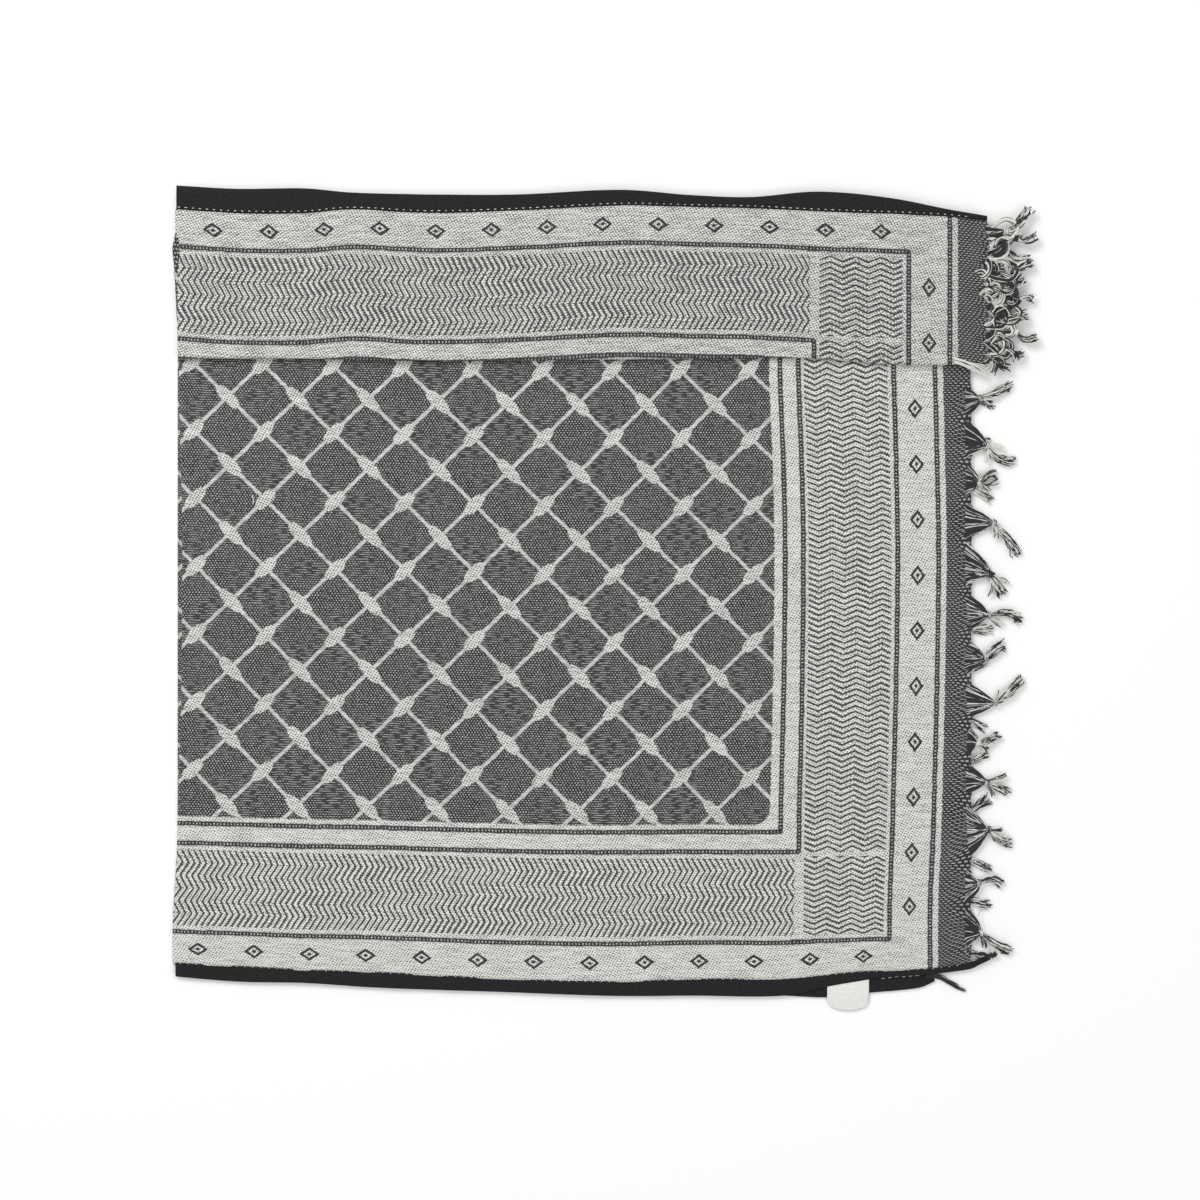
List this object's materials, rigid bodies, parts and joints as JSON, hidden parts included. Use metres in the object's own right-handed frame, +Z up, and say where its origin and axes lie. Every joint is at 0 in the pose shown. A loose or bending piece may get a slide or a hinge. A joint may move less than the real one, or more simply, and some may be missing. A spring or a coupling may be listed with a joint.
{
  "type": "folded keffiyeh headscarf",
  "caption": "Square woven headscarf folded flat, with a turned-over border strip, a lattice ground, patterned borders, plain selvages, knotted tassels and a small bare label.",
  "frame": {"origin": "middle of the scarf's footprint, on the surface that it lies on", "axes": "+Z up out of the surface, +X from the centre fold towards the tassels, +Y towards the turned-over border strip"},
  "size_m": [0.655, 0.6242, 0.0087],
  "materials": {
    "woven_cloth": "matt woven cotton in black and off-white yarn",
    "black_selvage": "matt plain-woven black cotton",
    "fringe_yarn": "twisted black and off-white cotton yarn",
    "label_cloth": "smooth off-white label tape"
  },
  "bodies": {
    "root": {"inner_layers": "woven_cloth", "front_panel": "woven_cloth", "front_selvage": "black_selvage", "border_strip": "woven_cloth", "strip_selvage": "black_selvage", "back_selvage": "black_selvage", "fringe_front": "fringe_yarn", "fringe_back": "fringe_yarn", "fringe_strip": "fringe_yarn", "label": "label_cloth"}
  },
  "joints": []
}
